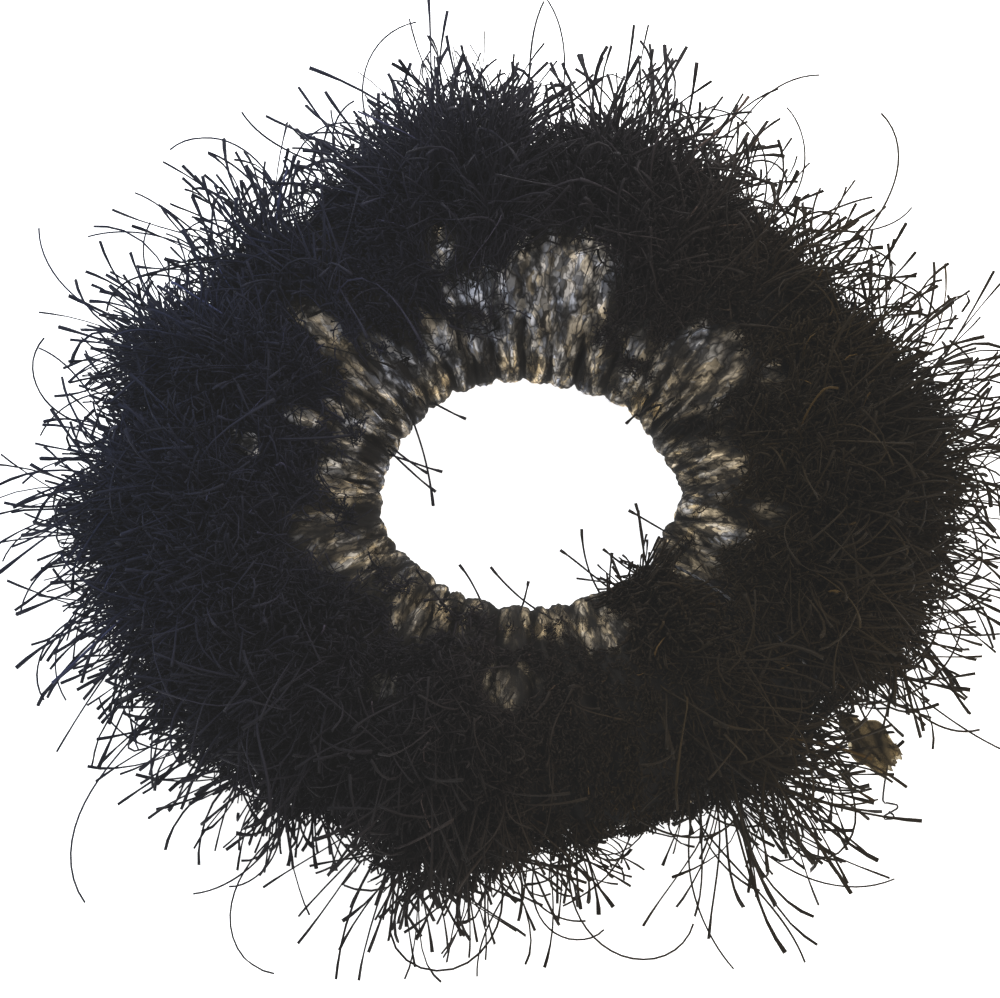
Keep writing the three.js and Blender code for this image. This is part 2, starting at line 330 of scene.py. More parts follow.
def sheer_knitted_net(name, thread_hex, warm_light_hex, cool_light_hex):
    """Sheer knitted net: fine dark polyester yarn with holes between. Crumpled, it breaks into flakes,
    some that light comes through clearly and some that are several yarns thick, with dark creases between
    them, and it looks nearly solid where it is folded. The light through the holes is tinted warmer or
    cooler from flake to flake and leans by place: painted light, for the colour of the light behind. The
    flakes are drawn about 1.9 by 2.9 mm on the flat cloth, coarser than the real holes, so that they show."""
    material, tree = new_material(name)
    place = add_node(tree, "ShaderNodeUVMap", uv_map="cloth").outputs["UV"]
    bend = add_node(tree, "ShaderNodeTexNoise", {"Vector": place}, Scale=0.35, Detail=2.5)
    flakes = add_node(tree, "ShaderNodeVectorMath", {0: place}, operation="MULTIPLY")
    flakes.inputs[1].default_value = (1 / 1.9, 1 / 2.9, 1)
    moved = add_node(tree, "ShaderNodeVectorMath", {0: bend.outputs["Color"], 2: flakes.outputs["Vector"]},
                     operation="MULTIPLY_ADD")
    moved.inputs[1].default_value = (2.2, 2.2, 0)
    flake = add_node(tree, "ShaderNodeTexVoronoi", {"Vector": moved.outputs["Vector"]}, Scale=1.0)
    crease = add_node(tree, "ShaderNodeTexVoronoi", {"Vector": moved.outputs["Vector"]},
                      feature="DISTANCE_TO_EDGE", Scale=1.0)
    fold = add_node(tree, "ShaderNodeTexVoronoi", {"Vector": moved.outputs["Vector"]},
                    feature="DISTANCE_TO_EDGE", Scale=0.26)
    parts = add_node(tree, "ShaderNodeSeparateColor", {"Color": flake.outputs["Color"]})
    blotch = add_node(tree, "ShaderNodeTexNoise", {"Vector": place}, Scale=0.17, Detail=3.0, Roughness=0.6)
    line = remap(tree, crease.outputs["Distance"], 0.0, 0.09, 0.85, 0.0)
    pillow = remap(tree, crease.outputs["Distance"], 0.0, 0.32, 0.3, 0.0)
    shadow = remap(tree, fold.outputs["Distance"], 0.0, 0.14, 0.98, 0.0)
    yarns = remap(tree, parts.outputs["Red"], 0.45, 1.0, 0.0, 0.95)
    bunched = remap(tree, blotch.outputs["Fac"], 0.48, 0.62, 0.0, 0.92)
    solid = add_node(tree, "ShaderNodeAttribute", attribute_name="solid").outputs["Fac"]
    thick = line
    for layer in (pillow, yarns, shadow, bunched):
        thick = add_node(tree, "ShaderNodeMath", {0: thick, 1: layer}, operation="MAXIMUM").outputs["Value"]
    open_part = add_node(tree, "ShaderNodeMath", {1: solid}, operation="SUBTRACT")
    open_part.inputs[0].default_value = 1.0
    both = add_node(tree, "ShaderNodeMath", {0: thick, 1: open_part.outputs["Value"], 2: solid},
                    operation="MULTIPLY_ADD")
    cover = remap(tree, both.outputs["Value"], 0.0, 1.0, 0.0, 0.995)
    # Painted light: the light through the holes is tinted warm or cool from flake to flake, drifting, and
    # leaning by place.
    drift = add_node(tree, "ShaderNodeTexNoise", {"Vector": place}, Scale=0.05, Detail=1.0)
    hue = add_node(tree, "ShaderNodeMath", {0: parts.outputs["Green"], 2: drift.outputs["Fac"]},
                   operation="MULTIPLY_ADD")
    hue.inputs[1].default_value = 0.36
    side = painted_light_side(tree, -2.0, -0.075, 0.03, 0.12, -0.14)
    hue = add_node(tree, "ShaderNodeMath", {0: hue.outputs["Value"], 1: side}, operation="ADD")
    painted_light_colour = add_node(tree, "ShaderNodeValToRGB", {"Fac": hue.outputs["Value"]})
    stops = painted_light_colour.color_ramp.elements
    stops[0].position, stops[0].color = 0.6, linear(warm_light_hex)
    stops[1].position, stops[1].color = 0.88, linear(cool_light_hex)
    holes = add_node(tree, "ShaderNodeBsdfTransparent", {"Color": painted_light_colour.outputs["Color"]})
    thread = add_node(tree, "ShaderNodeBsdfPrincipled", Base_Color=linear(thread_hex), Roughness=0.7)
    thread.inputs["Specular IOR Level"].default_value = 0.06
    sheer = add_node(tree, "ShaderNodeMixShader", {"Fac": cover, 1: holes.outputs["BSDF"],
                                                   2: thread.outputs["BSDF"]})
    finish_material(tree, sheer.outputs["Shader"])
    return material


def clear_elastic():
    """Clear elastic tape: thin extruded polyurethane, so hardly seen through the net, with a soft sheen
    and fine lines along it."""
    material, tree = new_material("clear_polyurethane_tape")
    place = add_node(tree, "ShaderNodeTexCoord").outputs["Object"]
    lines = add_node(tree, "ShaderNodeTexWave", {"Vector": place}, wave_type="BANDS", bands_direction="Z",
                     Scale=700.0, Distortion=1.2, Detail=2.0)
    bump = add_node(tree, "ShaderNodeBump", {"Height": lines.outputs["Fac"]}, Strength=0.25, Distance=0.0001)
    clear = add_node(tree, "ShaderNodeBsdfTransparent", Color=linear("#fbf8f1"))
    sheen = add_node(tree, "ShaderNodeBsdfPrincipled", {"Normal": bump.outputs["Normal"]},
                     Base_Color=linear("#b9b0a0"), Roughness=0.35)
    tape = add_node(tree, "ShaderNodeMixShader", {1: clear.outputs["BSDF"], 2: sheen.outputs["BSDF"]},
                    Fac=0.07)
    finish_material(tree, tape.outputs["Shader"])
    return material


def twisted_sewing_thread():
    """Black sewing thread: spun polyester, two plies twisted, so slanting ridges, drawn with paler bands on
    the raised plies: painted highlights.
    """
    material, tree = new_material("twisted_sewing_thread")
    place = add_node(tree, "ShaderNodeTexCoord").outputs["Object"]
    plies = add_node(tree, "ShaderNodeTexWave", {"Vector": place}, wave_type="BANDS",
                     bands_direction="DIAGONAL", Scale=550.0, Distortion=0.6)
    # Painted highlight: the plies' raised bands are drawn paler.
    colour = add_node(tree, "ShaderNodeMix", {"Factor": plies.outputs["Fac"]}, data_type="RGBA")
    colour.inputs["A"].default_value, colour.inputs["B"].default_value = linear("#0e0e10"), linear("#25252a")
    bump = add_node(tree, "ShaderNodeBump", {"Height": plies.outputs["Fac"]}, Strength=0.6, Distance=0.0002)
    thread = add_node(tree, "ShaderNodeBsdfPrincipled",
                      {"Base Color": colour.outputs["Result"], "Normal": bump.outputs["Normal"]},
                      Roughness=0.5)
    finish_material(tree, thread.outputs["BSDF"])
    return material


LASH = dyed_lash_polyester()
NET = sheer_knitted_net("sheer_knitted_net", "#171513", "#faeed9", "#eaedf6")
# The scrap's net is the tube's net drawn with paler, browner yarn: painted light, for light coming through
# its raw end.
PAINTED_LIGHT_SCRAP_NET = sheer_knitted_net("frayed_net_scrap_painted_paler", "#463d2c", "#bfb194", "#b5ac94")
TAPE = clear_elastic()
THREAD = twisted_sewing_thread()

# ---- Net tube ------------------------------------------------------------------------------------

TUBE_ROUND = 960
TUBE_ACROSS = 92
CLOTH_LENGTH_PER_TURN = 60.0  # millimetres of flat cloth for each radian round the ring
BUNCHED_HIDES = 0.85  # how much of the bareness goes where the net is bunched up
BARE_GAIN = 1.35
UNDERSIDE_SHEER = 0.6  # how much less solid the net is on its underside, so that light comes through

# Where the fringe parts and the bare net shows: seen along the camera's tilt, as places over the ring at
# the elastic's height, each with its half sizes and how sheer the net is there. Over 1, its clear middle
# reaches further out.
PARTINGS = np.array([
    (5.6, 36.4, 10.2, 9.2, 1.7), (-14.0, 42.6, 2.4, 3.6, 1.5), (-10.6, 34.2, 3.0, 2.4, 1.5),
    (-6.4, 35.0, 2.0, 3.8, 1.5), (-35.4, 31.0, 2.8, 2.3, 1.5), (-32.2, 27.7, 2.9, 2.6, 1.5),
    (-29.8, 24.6, 2.8, 2.1, 0.7), (-27.2, 20.9, 2.4, 2.3, 0.5), (-14.6, 28.0, 2.6, 3.0, 0.15),
    (-11.4, 22.6, 2.0, 3.0, 0.55), (-44.4, 8.5, 2.6, 2.4, 1.5), (-35.4, 13.0, 2.7, 1.8, 0.8),
    (-31.2, 15.2, 1.2, 1.1, 1.5), (-33.4, -5.4, 3.8, 4.2, 0.25), (28.4, 21.8, 7.4, 6.8, 0.7),
    (39.6, 20.4, 2.6, 2.0, 0.7), (18.5, 25.6, 2.2, 1.6, 0.45), (29.0, 5.0, 6.2, 4.6, 0.7),
    (30.0, -5.4, 5.4, 3.4, 0.6), (38.0, -3.0, 2.6, 2.8, 0.35), (26.6, -11.8, 3.2, 2.6, 1.5),
    (11.2, -21.8, 5.0, 3.6, 0.5), (-2.9, -31.0, 5.2, 3.0, 0.3), (-22.5, -31.0, 2.4, 2.4, 0.25),
    (-21.0, 17.0, 8.0, 5.6, 0.65), (-14.6, 19.6, 3.4, 3.4, 0.9), (2.0, 25.5, 9.4, 6.6, 0.7),
    (-17.5, -20.0, 4.2, 3.8, 0.5), (-28.0, 3.0, 5.0, 3.4, 0.7), (-28.5, -9.5, 5.0, 3.4, 0.5),
    (20.5, 15.6, 3.6, 3.0, 1.5),
])

# Where the net is bunched up or hidden beside the opening, seen in the same way. The first of these
# places is where the fringe reaches right to the edge.
COVERED = np.array([
    (19.8, -17.2, 7.0, 5.2), (26.5, 11.2, 3.8, 2.8), (-6.5, -22.6, 3.4, 3.2), (-8.0, 20.8, 2.2, 3.0),
    (-26.5, -3.6, 3.4, 2.6), (-24.6, 8.0, 2.4, 2.4), (2.0, -26.0, 5.0, 2.2),
])


def seen_at(points):
    """Where the camera sees points, over the ring at the elastic's height."""
    return points[..., 0], points[..., 1] + (points[..., 2] - ELASTIC_HEIGHT) * VIEW_LEAN


def away_from(points, places):
    """How far points lie from each of some places, as the camera sees them: 0 at a place's middle and 1 on
    its edge."""
    x, y = (a[..., None] for a in seen_at(points))
    return np.hypot((x - places[:, 0]) / places[:, 2], (y - places[:, 1]) / places[:, 3])


def fold_shade(turn, share):
    """How solid the net looks in the pleats' valleys, where it is several layers thick: 1 in the valleys,
    over a width that differs from pleat to pleat, and fading as the pleats open outwards."""
    crest = np.abs(np.sin(pleat_phase(turn, share) / 2))
    width = 0.42 + 0.2 * ring_noise(turn, 12, 10, 50)
    width = width + 0.2 * cloth_noise(turn, share, 13, 12, (20, 90), (4, 14))
    fades = 0.1 + 0.03 * ring_noise(turn, 14, 12, 40)
    near = smoothstep(fades + 0.05, fades - 0.05, from_opening(share))
    return smoothstep(width + 0.24, width - 0.24, crest) * near


def net_tube():
    """The gathered net: the cloth's surface on a grid of turn and share, closed round the ring and open
    by a hair at the long seam. It is dense where the fringe is knitted in, and bare in a band beside the
    opening, most so at the back, and in the partings."""
    turn = np.linspace(0, 2 * math.pi, TUBE_ROUND, endpoint=False)[None, :]
    share = np.linspace(LONG_SEAM_AT - 0.9995, LONG_SEAM_AT - 0.0005, TUBE_ACROSS)[:, None]
    points = cloth(*np.broadcast_arrays(turn, share))[0]
    index = np.arange(TUBE_ACROSS * TUBE_ROUND).reshape(TUBE_ACROSS, TUBE_ROUND)
    beside = np.roll(index, -1, axis=1)
    faces = np.stack([index[:-1], beside[:-1], beside[1:], index[1:]], -1).reshape(-1, 4)
    tube = make_mesh("mesh_tube_net", points, [faces], NET)
    ragged = 0.2 * cloth_noise(turn, share, 30, 14, (10, 60), (3, 12))
    band = smoothstep(0.17, 0.08, from_opening(share) + 0.016 * ring_noise(turn, 31, 5, 24) + 0.05 * ragged)
    hidden = away_from(points, COVERED).min(-1)
    band = band * (0.65 - 0.07 * np.cos(turn) + 0.18 * np.sin(turn)) * smoothstep(0.8, 1.2, hidden + ragged)
    parting = smoothstep(1.3, 0.6, away_from(points, PARTINGS) + 1.3 * ragged[..., None]) * PARTINGS[:, 4]
    bunched = smoothstep(-0.2, 0.7, cloth_noise(turn, share, 33, 18, (14, 60), (3, 10)))
    bare = np.maximum(band, parting.max(-1) * smoothstep(0.6, 1.0, hidden)) * (1 - BUNCHED_HIDES * bunched)
    bare = np.minimum(BARE_GAIN * bare, 1)
    solid = np.maximum(fold_shade(turn, share), 1 - bare)
    set_attribute(tube, "solid", solid - UNDERSIDE_SHEER * (np.mod(share, 1) > 0.5))
    set_uv(tube, "cloth", np.stack(np.broadcast_arrays(turn * CLOTH_LENGTH_PER_TURN, share * GIRTH), -1))
    return tube


tube = net_tube()

# ---- Fringe --------------------------------------------------------------------------------------

ROWS = 14
FRINGE_STARTS, FRINGE_ENDS = 0.085, 0.915
ROW_WIDTH = (FRINGE_ENDS - FRINGE_STARTS) / ROWS
SHORT_LASHES = (1900, 5200, 5800, 5400, 5000, 5000, 5000, 5000, 4600, 3200, 1600, 800, 240, 60)
LONG_LASHES = (30, 90, 200, 340, 460, 600, 680, 680, 500, 260, 110, 40, 14, 6)
FLOOR, CEILING = 0.5, 47.5
SHORT_PER_TUFT, LONG_PER_TUFT = 9, 4
STRAY_SHARE = 0.15  # of the lashes, that lean far to one side
# Share of lashes drawn paler: painted highlights for lashes that catch the light.
PALE_HIGHLIGHT_SHARE = 0.03
CROSSING_SHARE = 0.11  # of the lashes that only cross a parting, that stay
SHORTENED = 0.3  # what stays of a long lash's length where its lock is thin

# Locks of long lashes that stand out from the ring: angle in degrees, width in degrees, and how much
# longer or shorter the lashes are there.
LOCKS = np.array([
    (102, 5, 0.38), (89, 7, -1.0), (76, 6, 0.1), (50, 8, -0.25), (31, 11, -0.35), (127, 9, -0.5),
    (140, 4, 0.1), (151, 5, -0.45), (161, 6, 0.25), (170, 5, -0.45), (181, 9, 0.26), (200, 7, 0.1),
    (209, 5, -0.3), (221, 5, 0.1), (238, 7, -0.5), (249, 5, 0.2), (268, 6, -0.25), (290, 12, -0.9),
    (303, 5, 0.6), (322, 8, -0.5), (332, 6, -0.1), (8, 12, 0.2),
])

# Lumps of the undergrowth of short lashes, in the same way.
LUMPS = np.array([
    (3, 8, 0.15), (22, 9, -0.35), (38, 13, -0.75), (53, 7, -0.4), (71, 6, -0.35), (88, 6, -0.75),
    (102, 6, 0.8), (130, 12, -0.95), (150, 6, -0.6), (161, 6, 0.4), (171, 5, -0.25), (192, 17, 0.5),
    (238, 8, -0.35), (254, 7, 0.3), (269, 6, -0.3), (286, 14, -0.95), (303, 6, -0.3), (321, 9, -0.8),
    (338, 8, -0.2),
])


def extra_length(turn, lumps):
    """The lumps' shares of extra length at an angle round the ring."""
    angle = np.degrees(turn)[..., None] - lumps[:, 0]
    angle = (angle + 180) % 360 - 180
    return (lumps[:, 2] * np.exp(-((angle / lumps[:, 1]) ** 2))).sum(-1)


SHORT_RINGS = np.array([0, 0.2, 0.42, 0.65, 0.88, 1.0])
LONG_RINGS = np.array([0, 0.1, 0.22, 0.34, 0.46, 0.58, 0.7, 0.82, 0.92, 1.0])


def stand_clear(spine, turn, random):
    """Keeps lashes outside the tube, above the floor and below a ceiling. In the plane across the ring a
    point's distance from the middle of the section is at least the section's own there."""
    edge, outwards, along = (a[:, None] for a in ring_frame(turn))
    local = spine - edge
    out = (local * outwards).sum(-1)
    sideways = (local * along).sum(-1)
    out = out + sideways**2 / (2 * (HALF_X + np.maximum(out, 1)))
    middle = np.array([TUBE_WIDTH * 0.52, ELASTIC_HEIGHT + 0.5])
    ring = PATH - middle
    bearing = np.arctan2(ring[:, 1], ring[:, 0])
    order = np.argsort(bearing)
    here = np.arctan2(spine[..., 2] - middle[1], out - middle[0])
    limit = np.interp(here, bearing[order], np.hypot(*ring.T)[order], period=2 * math.pi)
    limit = limit + random.uniform(0.2, 1.2, (len(spine), 1)) * np.linspace(0, 1, spine.shape[1])
    reach = np.hypot(spine[..., 2] - middle[1], out - middle[0])
    push = np.maximum(limit - reach, 0)
    spine = spine + outwards * (push * np.cos(here))[..., None]
    spine[..., 2] += push * np.sin(here)
    low = FLOOR + random.uniform(0, 1.2, (len(spine), 1))
    soft = 0.8
    spine[..., 2] = low + soft * np.logaddexp(0, (spine[..., 2] - low) / soft)
    high = CEILING + random.uniform(-2.5, 2.5, (len(spine), 1))
    spine[..., 2] = high - soft * np.logaddexp(0, (high - spine[..., 2]) / soft)
    return spine


def grow(root, first, bend, hook, length, at):
    """Lines from roots: the direction is first + bend u + hook u squared, followed for each length."""
    u = at[None, :, None]
    heading = unit(first[:, None] + bend[:, None] * u + hook[:, None] * u**2)
    step = np.diff(at, prepend=0.0)[None, :, None] * length[:, None, None]
    middle = np.concatenate([heading[:, :1], (heading[:, 1:] + heading[:, :-1]) / 2], 1)
    return root[:, None] + np.cumsum(middle * step, 1)


def ribbons(spine, width, thickness, start, twist, profile):
    """Closed three-sided strips along lines: a flat ribbon with a low ridge, that turns about its line.
    Returns points and faces."""
    count, rings = spine.shape[:2]
    tangent = unit(np.gradient(spine, axis=1))
    helper = unit(np.cross(tangent[:, :1], np.array([0.3, 0.5, 0.81])))
    side = unit(helper - tangent * (helper * tangent).sum(-1, keepdims=True))
    over = np.cross(tangent, side)
    u = np.linspace(0, 1, rings)
    angle = (start[:, None] + twist[:, None] * u)[..., None]
    flat = side * np.cos(angle) + over * np.sin(angle)
    ridge = np.cross(tangent, flat)
    half = (width[:, None] * profile / 2)[..., None]
    thick = (thickness[:, None] * profile)[..., None]
    corners = [spine + flat * half, spine + ridge * thick, spine - flat * half]
    points = np.stack(corners, 2)
    index = np.arange(count * rings * 3).reshape(count, rings, 3)
    beside = np.roll(index, -1, axis=2)
    sides = np.stack([index[:, :-1], beside[:, :-1], beside[:, 1:], index[:, 1:]], -1).reshape(-1, 4)
    caps = np.concatenate([index[:, 0, ::-1], index[:, -1]])
    return points, [sides, caps]


def lash_strips(random, turn, share, lean, length, curl, width, at):
    """Lashes from places on the cloth: they start off the cloth and outwards, lean sideways, droop with
    their own weight, curl and are cut blunt. Those that would hide a parting are left out, except a few.
    Returns their points, faces and each one's tone."""
    count = len(turn)
    root, normal, along, outwards = cloth(turn, share)
    outer = smoothstep(0.24, 0.44, from_opening(share))
    comb = np.where(share < 0.5, 1.1, 0.9) * (1 - 0.6 * outer) + random.normal(0, 0.35, count)
    first = normal + outwards * comb[:, None] + along * lean[:, None] + 0.15 * random.normal(size=(count, 3))
    bend = curl[:, None] * random.normal(size=(count, 3))
    hook = 0.6 * curl[:, None] * random.normal(size=(count, 3))
    hook = hook - bend * random.uniform(0, 1.4, count)[:, None]
    bend = bend - UP * random.uniform(0.1, 0.8, count)[:, None]
    spine = stand_clear(grow(root, unit(first), bend, hook, length, at), turn, random)
    inside = away_from(spine, PARTINGS).min(-1)
    crosses = (inside < 1).mean(-1) < 0.7
    stays = random.random(count) < CROSSING_SHARE
    keep = (inside[:, 0] > 0.95) & (inside.min(-1) > 0.84) | crosses & stays
    spine, width = spine[keep], width[keep]
    profile = 0.64 + 0.2 * at + 0.42 * smoothstep(0.8, 0.92, at)
    points, faces = ribbons(spine, width, width * 0.55, random.uniform(0, math.pi, len(spine)),
                            random.normal(0, 2.2, len(spine)), profile)
    tone = 0.35 + 0.2 * cloth_noise(turn[keep], share[keep], 60, 12, (4, 16), (1, 3))
    tone = np.clip(tone + random.uniform(0, 0.25, len(spine)), 0, 0.9)
    # A few lashes drawn paler: painted highlights.
    pale = random.random(len(spine)) < PALE_HIGHLIGHT_SHARE
    tone = np.where(pale, random.uniform(0.9, 1, len(spine)), tone)
    return points.reshape(-1, 3), faces, tone


def lashes(row, kind, count, at):
    """Lashes of one kind for a row, rooted in tufts along the cloth, each tuft with its own lean."""
    long = kind == "long"
    random = np.random.default_rng(100 + row + 50 * long)
    tufts = max(1, count // (LONG_PER_TUFT if long else SHORT_PER_TUFT))
    tuft = random.integers(0, tufts, count)
    tuft_turn = random.uniform(0, 2 * math.pi, tufts)
    tuft_share = FRINGE_STARTS + ROW_WIDTH * (row + random.uniform(0, 1, tufts))
    tuft_lean = 0.4 * ring_noise(tuft_turn, 40, 5, 16) + random.normal(0, 0.3, tufts)
    turn = tuft_turn[tuft] + random.normal(0, 0.012, count)
    share = np.clip(tuft_share[tuft] + random.normal(0, 0.006, count), FRINGE_STARTS, FRINGE_ENDS)
    stray = random.random(count) < STRAY_SHARE
    lean = tuft_lean[tuft] + random.normal(0, 0.35, count) + stray * random.normal(0, 0.8, count)
    out = smoothstep(0.08, 0.3, from_opening(share))
    if long:
        extra = extra_length(turn, LOCKS)
        length = random.triangular(11, 19, 29, count) * (0.5 + 0.5 * out) * (1 + extra)
        length = length * np.where(random.random(count) < 1 + 1.5 * extra, 1, SHORTENED)
        curl, width = random.uniform(0.6, 2.6, count), random.uniform(0.36, 0.6, count)
    else:
        full = 1.0 + 0.14 * np.sin(turn) + extra_length(turn, LUMPS) + 0.06 * ring_noise(turn, 44, 6, 16)
        length = (3 + 8 * out) * np.maximum(full, 0.2) * random.uniform(0.65, 1.15, count)
        curl, width = np.full(count, 1.5), random.uniform(0.2, 0.36, count)
    return lash_strips(random, turn, share, lean, length, curl, width, at)


def fringe_row(row):
    """One row of fringe: its short and its long lashes in one mesh. Each lash has its tone, the distance
    along it, and a cell of its own in the OFBake UV map."""
    points, quads, caps, tones, alongs, places = [], [], [], [], [], []
    made, first = 0, 0
    across = math.ceil(math.sqrt(SHORT_LASHES[row] + LONG_LASHES[row]))
    kinds = (("short", SHORT_LASHES[row], SHORT_RINGS), ("long", LONG_LASHES[row], LONG_RINGS))
    for kind, count, at in kinds:
        some, faces, tone = lashes(row, kind, count, at)
        shape = (len(tone), len(at), 3)
        cell = made + np.arange(len(tone))[:, None, None]
        u = cell % across + 0.2 + 0.3 * np.arange(3)
        v = cell // across + 0.1 + 0.8 * at[None, :, None]
        points.append(some)
        quads.append(faces[0] + first)
        caps.append(faces[1] + first)
        tones.append(np.broadcast_to(tone[:, None, None], shape).ravel())
        alongs.append(np.broadcast_to(at[None, :, None], shape).ravel())
        places.append(np.stack(np.broadcast_arrays(u, v), -1).reshape(-1, 2) / across)
        made, first = made + len(tone), first + len(some)
    piece = make_mesh(f"fringe_row_{row + 1:02d}_lashes", np.concatenate(points),
                      [np.concatenate(quads), np.concatenate(caps)], LASH)
    set_attribute(piece, "tone", np.concatenate(tones))
    set_attribute(piece, "along", np.concatenate(alongs))
    set_uv(piece, "OFBake", np.concatenate(places))
    return piece


rows = [fringe_row(row) for row in range(ROWS)]

# ---- Loose filaments, and the raw end of the closing seam ------------------------------------------

# Loose filaments, listed one by one: angle in degrees round the ring, share, length, heading off straight
# outwards in degrees, and the turning in degrees per millimetre at the root and at the end.
FILAMENTS = np.array([
    (157, 0.47, 34, 12, 0.2, -2.2), (198, 0.5, 30, -30, 1.0, 5.5), (205, 0.52, 44, 40, -2.6, 3.0),
    (262, 0.5, 52, 35, -1.5, -9.5), (278, 0.48, 36, -20, 1.5, 6.0), (301, 0.5, 33, 10, 0.5, 2.0),
    (322, 0.5, 40, -25, 3.0, -16.0), (330, 0.47, 34, 30, -4.0, 2.0), (348, 0.46, 30, 0, 2.0, -6.0),
    (12, 0.45, 30, -10, 1.0, 3.0), (33, 0.45, 34, 20, -2.0, 4.0), (58, 0.44, 30, 0, 1.0, -3.0),
    (84, 0.43, 34, 8, -2.0, 3.2), (92, 0.44, 28, -25, 3.0, -1.0), (112, 0.44, 32, 20, -1.0, -4.0),
    (134, 0.45, 30, -30, 1.0, 5.0), (170, 0.47, 30, 25, -1.0, -6.0), (236, 0.5, 38, -10, -2.0, 6.0),
])
RANDOM_FILAMENTS = 90
FILAMENT_RINGS = np.linspace(0, 1, 22)

# Lashes that reach over the opening, listed one by one and placed as the partings are: x and y of the root,
# heading in degrees, length, and turning in degrees per millimetre.
REACHING = np.array([
    (-18.0, 17.4, -29, 8.7, 0.0), (-20.4, 17.8, -66, 19.0, -0.9), (-24.3, 10.3, -42, 9.9, 0.6),
    (-23.5, 7.4, -20, 9.8, 0.0), (-23.0, 8.4, -46, 10.7, 0.4), (-6.2, -22.0, 98, 10.5, 3.0),
    (-5.5, -20.6, 145, 10.5, 3.5), (4.9, -21.2, 150, 13.0, -1.6), (-1.6, -20.7, 62, 6.0, 3.0),
    (14.4, -20.3, 128, 14.6, -2.4), (13.4, -15.8, 137, 9.5, 0.8), (18.8, -14.2, 142, 7.6, 0.0),
    (13.0, -18.4, 84, 8.0, 0.0), (18.3, -14.2, 78, 12.0, 2.4), (19.3, -12.3, 97, 9.0, 0.0),
    (25.5, -7.8, 150, 9.6, 0.0), (22.0, 17.0, 215, 7.0, 1.5), (17.0, -19.5, 104, 8.5, 1.5),
])
REACHING_RINGS = 14
ON_TOP = SHARES < 0.3  # the part of the section's table that the camera sees over the opening's side


def over_the_cloth(x, y, clear):
    """Points that the camera sees at x and y, and that lie on top of the tube or over the opening."""
    height = np.zeros_like(x)
    for _ in range(4):
        shifted = y - height * VIEW_LEAN
        angle = np.arctan2(shifted / HALF_Y, x / HALF_X)
        out = np.hypot(x, shifted) - np.hypot(HALF_X * np.cos(angle), HALF_Y * np.sin(angle))
        height = np.interp(out, PATH[ON_TOP, 0], PATH[ON_TOP, 1]) - ELASTIC_HEIGHT + clear
    return np.stack([x, shifted, ELASTIC_HEIGHT + height], -1), angle, out


def reaching_lashes():
    """The lashes that reach over the opening: each one's heading turns steadily as it goes."""
    x, y, heading, length, turning = REACHING.T
    u = np.linspace(0, 1, REACHING_RINGS)
    travelled = u[None, :] * length[:, None]
    bearing = np.radians(heading[:, None] + turning[:, None] * travelled)
    step = (length / (REACHING_RINGS - 1))[:, None]
    x = x[:, None] + np.cumsum(np.cos(bearing) * step, 1)
    y = y[:, None] + np.cumsum(np.sin(bearing) * step, 1)
    spine = over_the_cloth(x, y, 0.7)[0]
    profile = 0.7 + 0.4 * smoothstep(0.82, 0.95, u)
    wide = np.full(len(length), 0.52)
    return ribbons(spine, wide, wide * 0.8, np.zeros(len(length)), np.full(len(length), 2.0), profile)


def edge_tufts(count=700):
    """Lashes rooted close to the opening, at the one place where the fringe reaches its edge."""
    random = np.random.default_rng(320)
    x, y, half_x, half_y = COVERED[0]
    angle, away = random.uniform(0, 2 * math.pi, count), np.sqrt(random.random(count))
    _, turn, out = over_the_cloth(x + half_x * away * np.cos(angle), y + half_y * away * np.sin(angle), 0.0)
    share = np.maximum(np.interp(out, PATH[ON_TOP, 0], SHARES[ON_TOP]), 0.05)
    lean, curl = random.normal(0, 0.6, count), np.full(count, 0.45)
    return lash_strips(random, turn, share, lean, random.uniform(3, 8, count), curl,
                       random.uniform(0.34, 0.46, count), SHORT_RINGS)


def loose_lashes():
    """The lashes at the opening's edge in one mesh."""
    points, faces = reaching_lashes()
    more, more_faces, tone = edge_tufts()
    reaching = points.reshape(-1, 3)
    caps = [faces[1], more_faces[1] + len(reaching)]
    piece = make_mesh("edge_lashes", np.concatenate([reaching, more]),
                      [faces[0], more_faces[0] + len(reaching), np.concatenate(caps)], LASH)
    tones = [np.full(len(reaching), 0.5), np.repeat(tone, 3 * len(SHORT_RINGS))]
    set_attribute(piece, "tone", np.concatenate(tones))
    set_attribute(piece, "along", np.zeros(len(reaching) + len(more)))
    return piece


